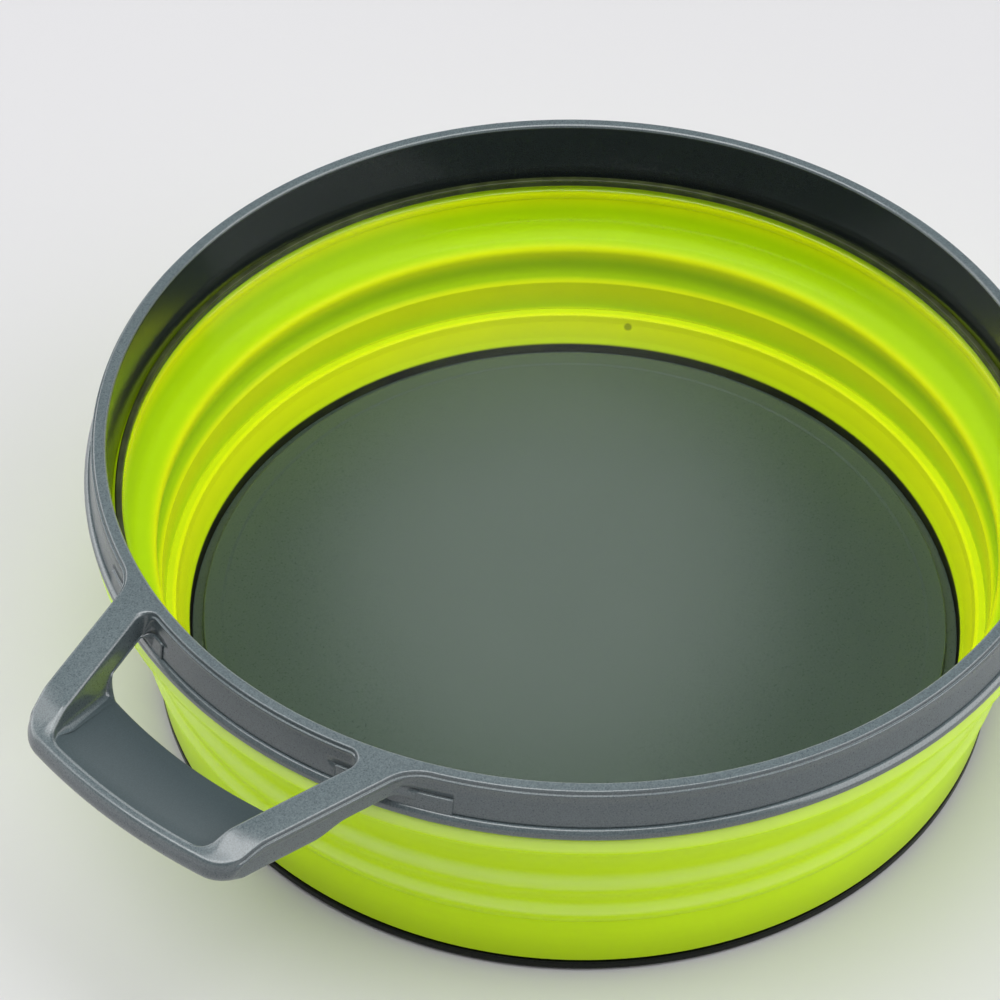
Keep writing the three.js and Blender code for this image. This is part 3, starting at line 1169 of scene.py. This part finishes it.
    def opening_rows(self, point: EdgePoint, hole: HolePoint) -> list[Vector]:
        """The wall and the scoop below one point of the opening.

        Args:
            point: The point on the opening's edge.
            hole: Its point on the hole's edge.

        Returns:
            Places from the land down to the underside.
        """
        plan = self._scoop_plan(point, hole)
        web = self._rim_rows(point.place)
        spare, cut = len(plan) - len(web) + 1, len(self.STEP_AND_BEAD)
        above, below = web[cut - 1], web[cut]
        shares = [k / spare for k in range(1, spare)]
        web[cut:cut] = [tuple(mix(a, b, share) for a, b in zip(above, below)) for share in shares]
        share = ease(point.kind)
        rows = []
        for (out, depth), (flat, fall) in zip(web, plan):
            place = (point.place + point.out * out).lerp(flat, share)
            rows.append(Vector((*place, self.top - mix(depth, fall, share))))
        return rows

    def _scoop_plan(self, point: EdgePoint, hole: HolePoint) -> list[tuple[Vector, float]]:
        """The opening's rounded edge, its wall, the round at the wall's foot and the scoop's slope.

        Args:
            point: The point on the opening's edge.
            hole: Its point on the hole's edge.

        Returns:
            Places in plan, each with its depth below the rim's land.
        """
        drop, rest = self._drop(point.place), max(0.0, point.kind - 1)
        plan = []
        for (a, b), (c, d) in zip(self.OPENING_EDGE, self.BAR_CREST):
            plan.append((point.place + point.out * mix(a, c, rest), drop + mix(b, d, rest)))
        start_out = mix(self.OPENING_EDGE[-1][0], self.BAR_CREST[-1][0], rest)
        start = plan[-1][1]
        tuck = min(self.foot_round, 0.6 * (hole.foot - start), 0.8 * hole.room)
        end = hole.foot - max(0.05, tuck)
        lean = start_out + 0.1
        for share in (0.3, 0.65, 1.0):
            plan.append((point.place + point.out * mix(start_out, lean, share), mix(start, end, share)))
        for k in range(1, 7):
            angle = math.pi / 2 * k / 6
            reach = lean + max(0.01, tuck) * (1 - math.cos(angle))
            plan.append((point.place + point.out * reach, mix(end, hole.foot, math.sin(angle))))
        toe = plan[-1][0]
        for k in range(1, 7):
            plan.append((toe.lerp(hole.place, k / 6), mix(hole.foot, hole.sunk, k / 6)))
        lip = self.scoop_lip * hole.thick / self.scoop_wall
        for out, share in self.SCOOP_LIP:
            plan.append((hole.place + hole.out * (lip * out), hole.sunk + hole.thick * share))
        return plan

    def mouth_rows(self, way: Vector) -> list[Vector]:
        """The rim's inner wall and the outside of its skirt, in one direction from the axis.

        Args:
            way: The direction.

        Returns:
            Places from the land down and round the skirt's end.
        """
        inner, outer = self.land_inner, self.land_inner + self.skirt_wall
        end = self.skirt_depth
        rows = [(inner - out, depth) for out, depth in self.MOUTH_EDGE]
        rows += [(inner, 3.0), (inner + 0.03, end - 0.4), (inner + 0.1, end - 0.1), (inner + 0.3, end)]
        rows += [(outer - 0.2, end), (outer - 0.02, end - 0.1), (outer, end - 0.4)]
        rows.append((outer, self.web_depth + 0.2))
        return [Vector((way.x * r, way.y * r, self.top - depth)) for r, depth in rows]

    def build(self) -> bpy.types.Object:
        """Makes the moulding as one closed mesh.

        Returns:
            The piece.
        """
        outer = self.outer_outline()
        opening, hole = self.opening_outlines()
        ways = [heading(2 * math.pi * k / self.mouth_facets) for k in range(self.mouth_facets)]
        skirts = [
            [self.outer_rows(p) for p in outer],
            [self.opening_rows(p, q) for p, q in zip(opening, hole)],
            [self.mouth_rows(w) for w in ways],
        ]
        places: list[Vector] = []
        faces: list[tuple[int, ...]] = []
        tops: list[list[int]] = []
        bottoms: list[list[int]] = []
        for skirt in skirts:
            start, rows, around = len(places), len(skirt[0]), len(skirt)
            places += [p for column in skirt for p in column]
            for i in range(around):
                here, there = start + i * rows, start + (i + 1) % around * rows
                faces += [(here + k, there + k, there + k + 1, here + k + 1) for k in range(rows - 1)]
            tops.append([start + i * rows for i in range(around)])
            bottoms.append([start + i * rows + rows - 1 for i in range(around)])
        faces += self._plate(places, tops) + self._plate(places, bottoms)
        mesh = bpy.data.meshes.new("rim_and_handle")
        mesh.from_pydata([p * MM for p in places], [], faces)
        mesh.polygons.foreach_set("use_smooth", [True] * len(faces))
        for material in (self.material, self.bore_material, self.scoop_material):
            mesh.materials.append(material)
        bore = {n + k for n in tops[2] for k in range(self.bore_row, len(skirts[2][0]))}
        deep = [n for n, q in zip(tops[1], hole) if q.thick > self.scoop_wall / 2]
        scoop = {n + k for n in deep for k in range(self.scoop_row, len(skirts[1][0]))}
        finishes = [bore.issuperset(face) + 2 * scoop.issuperset(face) for face in faces]
        mesh.polygons.foreach_set("material_index", finishes)
        point_outwards(mesh)
        piece = bpy.data.objects.new("rim_and_handle", mesh)
        bpy.context.collection.objects.link(piece)
        return piece

    @staticmethod
    def _plate(places: list[Vector], loops: list[list[int]]) -> list[tuple[int, ...]]:
        """Fills the stretch between an outer outline and the openings in it.

        Args:
            places: Every place of the mesh.
            loops: The outer outline and the openings, as numbers of places.

        Returns:
            Triangles, as numbers of places.
        """
        numbers = [n for loop in loops for n in loop]
        flat = [places[n].xy for n in numbers]
        edges, start = [], 0
        for loop in loops:
            edges += [(start + i, start + (i + 1) % len(loop)) for i in range(len(loop))]
            start += len(loop)
        _, _, triangles, origins, _, _ = delaunay_2d_cdt(flat, edges, [], 1, 1e-7)
        holes = [[places[n].xy for n in loop] for loop in loops[1:]]
        kept = []
        for triangle in triangles:
            corners = [numbers[origins[i][0]] for i in triangle]
            middle = sum((places[n].xy for n in corners), Vector((0, 0))) / 3
            if not any(encloses(hole, middle) for hole in holes):
                kept.append(tuple(corners))
        return kept

    def dress(self, piece: bpy.types.Object) -> None:
        """Puts the moulding on the rim's body."""
        settle(piece, Body.RIM, Slot.RIM, "rim_frame", "handle_loop")


def encloses(outline: list[Vector], point: Vector) -> bool:
    """Whether a point lies inside an outline.

    Args:
        outline: The outline's points.
        point: The point.

    Returns:
        True if it does.
    """
    inside = False
    for a, b in zip(outline, outline[1:] + outline[:1]):
        if (a.y > point.y) != (b.y > point.y):
            if point.x < a.x + (point.y - a.y) / (b.y - a.y) * (b.x - a.x):
                inside = not inside
    return inside


@dataclass
class RetainerRing:
    """Flange under the web that clamps the wall, with tabs that stand up below the handle's roots."""

    material: bpy.types.Material
    tree: TurningTree
    radius: float = field(default_factory=lambda: node_reach("retainer_ring"))
    bottom: float = field(default_factory=lambda: node_bottom("retainer_ring"))
    tab_top: float = field(default_factory=lambda: node_top("retainer_ring"))
    inner: float = 65.1
    height: float = 1.85
    tab_inner: float = 65.9
    tab_outer: float = 66.98
    tab_lean: float = 0.48
    tab_rise: float = 0.45
    tab_turn: Pair = (13.0, 26.4)
    tab_facets: int = 28

    def build(self) -> bpy.types.Object:
        """Makes the ring and its tabs in one piece.

        Returns:
            The piece.
        """
        top = self.bottom + self.height
        ring = self.tree.turn("retainer_ring_dressed", Section([
            Corner(self.inner, self.bottom),
            Corner(self.radius - 0.5, self.bottom, 0.3),
            Corner(self.radius, self.bottom + 0.55, 0.5),
            Corner(self.radius, top - 0.5, 0.35),
            Corner(self.radius - 0.5, top, 0.3),
            Corner(self.inner, top),
        ]), self.material)
        work = bmesh.new()
        work.from_mesh(ring.data)
        for side in (1, -1):
            self._tab(work, side)
        bmesh.ops.recalc_face_normals(work, faces=work.faces)
        work.to_mesh(ring.data)
        work.free()
        return ring

    def _tab(self, work: bmesh.types.BMesh, side: int) -> None:
        """Adds one tab: a rounded block that follows the rim.

        Args:
            work: The mesh that it is added to.
            side: 1 or -1, for either side of the handle.
        """
        low, high = self.bottom + 0.6, self.tab_top + self.tab_rise
        block = Section([
            Corner(self.tab_inner, low),
            Corner(self.tab_outer, low),
            Corner(self.tab_outer - self.tab_lean, high, 0.2),
            Corner(self.tab_inner, high),
        ]).points()
        rings = []
        for k in range(self.tab_facets + 1):
            way = heading(side * math.radians(mix(*self.tab_turn, k / self.tab_facets))) * MM
            rings.append([work.verts.new((r * way.x, r * way.y, z * MM)) for r, z in block])
        for a, b in zip(rings, rings[1:]):
            for i in range(len(block)):
                j = (i + 1) % len(block)
                work.faces.new((a[i], a[j], b[j], b[i])).smooth = True
        work.faces.new(rings[0])
        work.faces.new(rings[-1])

    def dress(self, piece: bpy.types.Object) -> None:
        """Puts the ring on the rim's body."""
        settle(piece, Body.RIM, Slot.RIM, "retainer_ring")


# Soft wall


@dataclass
class SoftWall:
    """Silicone wall in three pieces that part along its creases: collar, folding bands and base band."""

    material: bpy.types.Material
    tree: TurningTree
    crease: float = 30.4
    collar_top: float = field(default_factory=lambda: node_top("wall_collar_band"))
    base_crest: float = field(default_factory=lambda: node_top("wall_base_band"))
    base_foot: float = field(default_factory=lambda: node_bottom("wall_base_band"))
    base_radius: float = field(default_factory=lambda: node_reach("wall_base_band"))
    floor_radius: float = 55.1
    floor_height: float = 7.5
    skirt_seat: float = 32.2
    hem_depth: float = 0.9
    tuck: float = 0.6
    travel: float = 16.0
    clearance: float = 0.28

    # Points of the skin, each a radius and a height, that the soft runs pass
    BEAD = (
        (65.3, 31.1), (66.05, 31.9), (66.7, 32.6), (67.0, 33.3), (66.8, 34.3), (66.45, 35.2),
        (65.8, 35.7), (65.4, 36.4),
    )
    RIDGES = (
        (61.45, 12.8), (61.75, 13.6), (61.8, 14.3), (61.6, 15.2), (61.45, 16.2), (61.5, 17.0),
        (61.8, 18.0), (62.2, 19.0), (62.4, 19.9), (62.3, 20.8), (62.05, 21.9), (61.95, 23.0),
        (62.1, 24.4), (62.45, 26.0), (63.0, 27.6), (63.65, 29.0),
    )
    COVE_AND_CRESTS = (
        (62.8, 29.2), (62.4, 27.6), (61.6, 25.9), (60.3, 24.8), (59.1, 24.2), (58.62, 23.5),
        (58.72, 22.5), (59.05, 21.2), (59.35, 19.9), (59.3, 18.9), (58.9, 18.1),
    )

    def build_collar(self) -> bpy.types.Object:
        """Makes the collar: a bead under the flange, and the lip that the lid's seal rests on.

        Returns:
            The piece.
        """
        crease, top, seat = self.crease, self.collar_top, self.skirt_seat
        return self.tree.turn("wall_collar", Section([
            *flowing([(64.55, crease - 0.05), *self.BEAD, (65.4, top)]),
            Corner(65.1, top),
            Corner(65.1, seat, 0.2),
            Corner(63.4, seat - 0.1, 0.5),
            Corner(62.75, crease + 0.9, 0.6),
            Corner(62.75, crease + 0.1, 0.4),
            Corner(63.2, crease - 0.1, 0.2),
            Corner(63.6, crease + 0.1),
        ]), self.material)

    def build_bands(self) -> bpy.types.Object:
        """Makes the folding bands: soft ridges outside, a cove and two crests inside.

        Returns:
            The piece.
        """
        crest, crease = self.base_crest, self.crease
        end = crease + self.tuck
        return self.tree.turn("wall_bands", Section([
            *flowing([(61.12, crest + 0.05), *self.RIDGES, (64.4, crease), (64.4, end)]),
            *flowing([(63.1, end), (63.0, crease), *self.COVE_AND_CRESTS]),
            Corner(58.3, 17.4, 0.22),
            Corner(58.3, 16.2),
            Corner(58.15, crest + 0.12),
        ]), self.material)

    def build_base(self) -> bpy.types.Object:
        """Makes the base band: a crisp crest, a wall that leans in to the floor and a hem over the foot.

        Returns:
            The piece.
        """
        crest, foot, hem = self.base_crest, self.base_foot, self.base_foot - self.hem_depth
        outer = self.base_radius
        return self.tree.turn("wall_base", Section([
            Corner(self.floor_radius, foot),
            Corner(outer - 1.5, foot),
            Corner(outer - 1.5, hem),
            Corner(outer - 0.7, hem, 0.2),
            Corner(outer - 0.3, hem + 0.5, 0.4),
            Corner(outer + 0.35, crest - 0.02, 0.06),
            Corner(outer - 0.4, crest, 0.2),
            Corner(58.6, crest),
            Corner(57.2, crest + 0.02),
            Corner(56.75, crest - 0.1, 0.22),
            Corner(56.5, crest - 1.2),
            Corner(55.6, self.floor_height + 1.0),
            Corner(self.floor_radius, self.floor_height, 0.6),
        ]), self.material)

    def dress(self, collar: bpy.types.Object, bands: bpy.types.Object, base: bpy.types.Object) -> None:
        """Puts the wall on its bodies and gives the bands a mesh of their own.

        Args:
            collar: The collar.
            bands: The folding bands.
            base: The base band.
        """
        settle(collar, Body.RIM, Slot.WALL, "wall_collar_band")
        settle(bands, Body.BASE, Slot.WALL, "wall_upper_band", "wall_lower_band")
        settle(base, Body.BASE, Slot.WALL, "wall_base_band")
        height = self.crease - self.base_crest
        keep = (height - self.travel - self.clearance) / height
        self.base_crest * MM
        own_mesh(bands)


# Base


@dataclass
class Base:
    """Floor disc with a groove round it, over a dark foot plate."""

    floor_material: bpy.types.Material
    foot_material: bpy.types.Material
    tree: TurningTree
    floor_top: float = field(default_factory=lambda: node_top("floor_pan"))
    floor_foot: float = field(default_factory=lambda: node_bottom("floor_pan"))
    floor_radius: float = field(default_factory=lambda: node_reach("floor_pan"))
    foot_radius: float = field(default_factory=lambda: node_reach("foot_plate"))
    foot_top: float = field(default_factory=lambda: node_top("foot_plate"))
    groove: Pair = (1.5, 1.4)
    skirt_wall: float = 2.0
    floor_skin: float = 2.0
    ring_width: float = 9.0
    hub_radius: float = 18.0
    recess: float = 0.7
    step: float = 0.8
    border: float = 2.6
    sink: float = 0.08

    def build_floor(self) -> bpy.types.Object:
        """Makes the floor disc and the skirt that it stands on.

        Returns:
            The piece.
        """
        (wide, deep), top = self.groove, self.floor_top
        edge, inner = self.floor_radius - wide, self.floor_radius - self.skirt_wall
        under = top - self.floor_skin
        return self.tree.turn("floor_dressed", Section([
            Corner(0, under),
            Corner(inner, under, 0.6),
            Corner(inner, self.floor_foot),
            Corner(self.floor_radius, self.floor_foot),
            Corner(self.floor_radius, top - deep),
            Corner(edge, top - deep, 0.2),
            Corner(edge - 0.1, top, 0.28),
            Corner(edge - self.border, top, 0.4),
            Corner(edge - self.border - 0.4, top - self.sink, 0.4),
            Corner(0, top - self.sink),
        ], closed=False), self.floor_material)

    def build_foot(self) -> bpy.types.Object:
        """Makes the foot plate with its standing ring and middle disc.

        Returns:
            The piece.
        """
        radius, top = self.foot_radius, self.foot_top
        inner = radius - self.ring_width
        return self.tree.turn("foot_dressed", Section([
            Corner(0, 0),
            Corner(self.hub_radius, 0, 0.5),
            Corner(self.hub_radius + 0.8, self.recess, 0.4),
            Corner(inner - 0.8, self.recess, 0.4),
            Corner(inner, 0, 0.5),
            Corner(radius - 0.55, 0, 0.4),
            Corner(radius, 0.6, 0.5),
            Corner(radius, top - self.step, 0.2),
            Corner(radius - 1.5, top - self.step),
            Corner(radius - 1.5, top),
            Corner(0, top),
        ], closed=False), self.foot_material)

    def dress(self, floor: bpy.types.Object, foot: bpy.types.Object) -> None:
        """Puts both on the base's body."""
        settle(floor, Body.BASE, Slot.FLOOR, "floor_pan")
        settle(foot, Body.BASE, Slot.FOOT, "foot_plate")


# Lid


@dataclass
class Lid:
    """Clear panel in a soft seal."""

    panel_material: bpy.types.Material
    seal_material: bpy.types.Material
    tree: TurningTree
    top: float = field(default_factory=lambda: node_top("lid_panel"))
    bottom: float = field(default_factory=lambda: node_bottom("lid_panel"))
    seal_radius: float = field(default_factory=lambda: node_reach("lid_gasket"))
    seal_bottom: float = field(default_factory=lambda: node_bottom("lid_gasket") + 0.5)
    seal_inner: float = 62.6

    def build_panel(self) -> bpy.types.Object:
        """Makes the clear panel with softly rounded edges.

        Returns:
            The piece.
        """
        radius = self.seal_inner - 0.05
        return self.tree.turn("lid_panel_dressed", Section([
            Corner(0, self.bottom),
            Corner(radius - 0.1, self.bottom, 0.4),
            Corner(radius, self.top, 0.4),
            Corner(0, self.top),
        ], closed=False), self.panel_material)

    def build_seal(self) -> bpy.types.Object:
        """Makes the seal: a narrow band with two soft lips.

        Returns:
            The piece.
        """
        radius, middle = self.seal_radius, (self.top + self.seal_bottom) / 2
        return self.tree.turn("lid_seal", Section([
            Corner(self.seal_inner, self.seal_bottom, 0.15),
            Corner(radius - 0.3, self.seal_bottom, 0.15),
            Corner(radius, self.seal_bottom + 0.35, 0.2),
            Corner(radius - 0.35, middle, 0.2),
            Corner(radius, self.top - 0.3, 0.2),
            Corner(radius - 0.25, self.top, 0.15),
            Corner(self.seal_inner, self.top - 0.05, 0.15),
        ]), self.seal_material)

    def dress(self, panel: bpy.types.Object, seal: bpy.types.Object) -> None:
        """Puts both on the lid's body."""
        settle(panel, Body.LID, Slot.LID, "lid_panel")
        settle(seal, Body.LID, Slot.GASKET, "lid_gasket")


# Studio


@dataclass(frozen=True)
class Lamp:
    """A square soft lamp that faces the bowl: its place and width in metres, and its power in watts."""

    name: str
    place: Triple
    size: float
    power: float

    def hang(self) -> None:
        """Adds the lamp to the scene."""
        light = bpy.data.lights.new(self.name, "AREA")
        light.size, light.energy = self.size, self.power
        lamp = bpy.data.objects.new(self.name, light)
        lamp.location = self.place
        lamp.rotation_euler = (-Vector(self.place)).to_track_quat("-Z", "Y").to_euler()
        bpy.context.collection.objects.link(lamp)


@dataclass
class Studio:
    """Pale table, soft light and the camera."""

    eye: Triple = (232.2, 184.04, 321.06)
    turn: Triple = (45.2465, -0.3804, 130.8715)
    lens: float = 108.0
    sensor: float = 36.0
    table_size: float = 6.0
    table_colour: Colour = (0.642, 0.637, 0.655)
    lit_reach: float = 1300.0
    far_glow: Colour = (0.37, 0.37, 0.375)
    room_back: Colour = (1.3, 1.32, 1.33)
    room_front: Colour = (0.7, 0.71, 0.71)
    room_high: Colour = (0.07, 0.071, 0.072)
    room_rise: Pair = (0.1, 0.5)
    window: Colour = (1.0, 1.06, 1.04)
    window_way: Triple = (-0.539, -0.436, 0.721)
    window_reach: Pair = (5.6, 0.5)
    lamps: tuple[Lamp, ...] = (
        Lamp("high_panel", (0.16, -0.02, 1.0), 1.0, 9.6),
        Lamp("right_panel", (-0.4, 0.87, 0.75), 1.1, 8.2),
        Lamp("left_panel", (0.3, -0.98, 0.62), 1.1, 5.0),
    )

    def build(self) -> None:
        """Makes the table, the lamps, the surrounding light and the camera."""
        self._table()
        for lamp in self.lamps:
            lamp.hang()
        self._surroundings()
        self._camera()
        bpy.context.scene.view_settings.view_transform = "Standard"

    def _table(self) -> None:
        """Makes the table, a pale matt sheet that stays pale beyond the lamps' reach."""
        half = self.table_size / 2
        mesh = bpy.data.meshes.new("table")
        corners = [(-half, -half, 0), (half, -half, 0), (half, half, 0), (-half, half, 0)]
        mesh.from_pydata(corners, [], [(0, 1, 2, 3)])
        shader = Shader("table_sheet")
        far = 1 - shader.near((0, 0, 0), self.lit_reach)
        mesh.materials.append(shader.finish(shader.surface({
            "Base Color": (*self.table_colour, 1.0),
            "Roughness": 0.85,
            "Specular IOR Level": 0.2,
            "Emission Color": shader.blend(far, (0.0, 0.0, 0.0), self.far_glow),
            "Emission Strength": 1.0,
        })))
        table = bpy.data.objects.new("table", mesh)
        bpy.context.collection.objects.link(table)

    def _surroundings(self) -> None:
        """Sets a pale light all round, brighter near the horizon, with a soft window to mirror."""
        world = bpy.data.worlds.new("soft_room")
        world.use_nodes = True
        graph = Graph(world.node_tree)
        way = graph.node("ShaderNodeTexCoord", {}, {}).outputs["Generated"]
        rise = Value(graph, graph.node("ShaderNodeSeparateXYZ", {}, {0: way}).outputs["Z"])
        ahead = Vector(self.eye).to_2d().normalized()
        front = graph.dot(way, (ahead.x, ahead.y, 0.0)).span(-0.6, 0.6)
        low = graph.blend(front, self.room_back, self.room_front)
        room = graph.blend(rise.span(*self.room_rise), low, self.room_high)
        edge, middle = [math.cos(math.radians(a)) for a in self.window_reach]
        seen = graph.dot(way, Vector(self.window_way).normalized().to_tuple()).span(edge, middle)
        colour = graph.blend(seen, room, self.window)
        back = graph.node("ShaderNodeBackground", {}, {"Color": colour, "Strength": 1.0})
        graph.node("ShaderNodeOutputWorld", {}, {"Surface": back.outputs[0]})
        bpy.context.scene.world = world

    def _camera(self) -> None:
        """Sets the camera where the photograph was taken from."""
        data = bpy.data.cameras.new("camera")
        data.lens, data.sensor_width, data.clip_start = self.lens, self.sensor, 0.01
        camera = bpy.data.objects.new("camera", data)
        camera.location = Vector(self.eye) * MM
        camera.rotation_euler = Euler([math.radians(a) for a in self.turn], "XYZ")
        bpy.context.collection.objects.link(camera)
        bpy.context.scene.camera = camera


def main() -> None:
    """Builds and dresses every sub-assembly, then the studio."""
    logging.basicConfig(level=logging.INFO, format="%(name)s: %(message)s")
    tree = TurningTree()
    nylon = RIM_FINISH.material()
    rim = RimMoulding(nylon, BORE_FINISH.material(), SCOOP_FINISH.material())
    rim.dress(rim.build())
    ring = RetainerRing(nylon, tree)
    ring.dress(ring.build())
    wall = SoftWall(WALL_FINISH.material(), tree)
    wall.dress(wall.build_collar(), wall.build_bands(), wall.build_base())
    base = Base(FLOOR_FINISH.material(), FOOT_FINISH.material(), tree)
    base.dress(base.build_floor(), base.build_foot())
    lid = Lid(LID_FINISH.material(), SEAL_FINISH.material(), tree)
    lid.dress(lid.build_panel(), lid.build_seal())
    Studio().build()


if __name__ == "__main__":
    main()
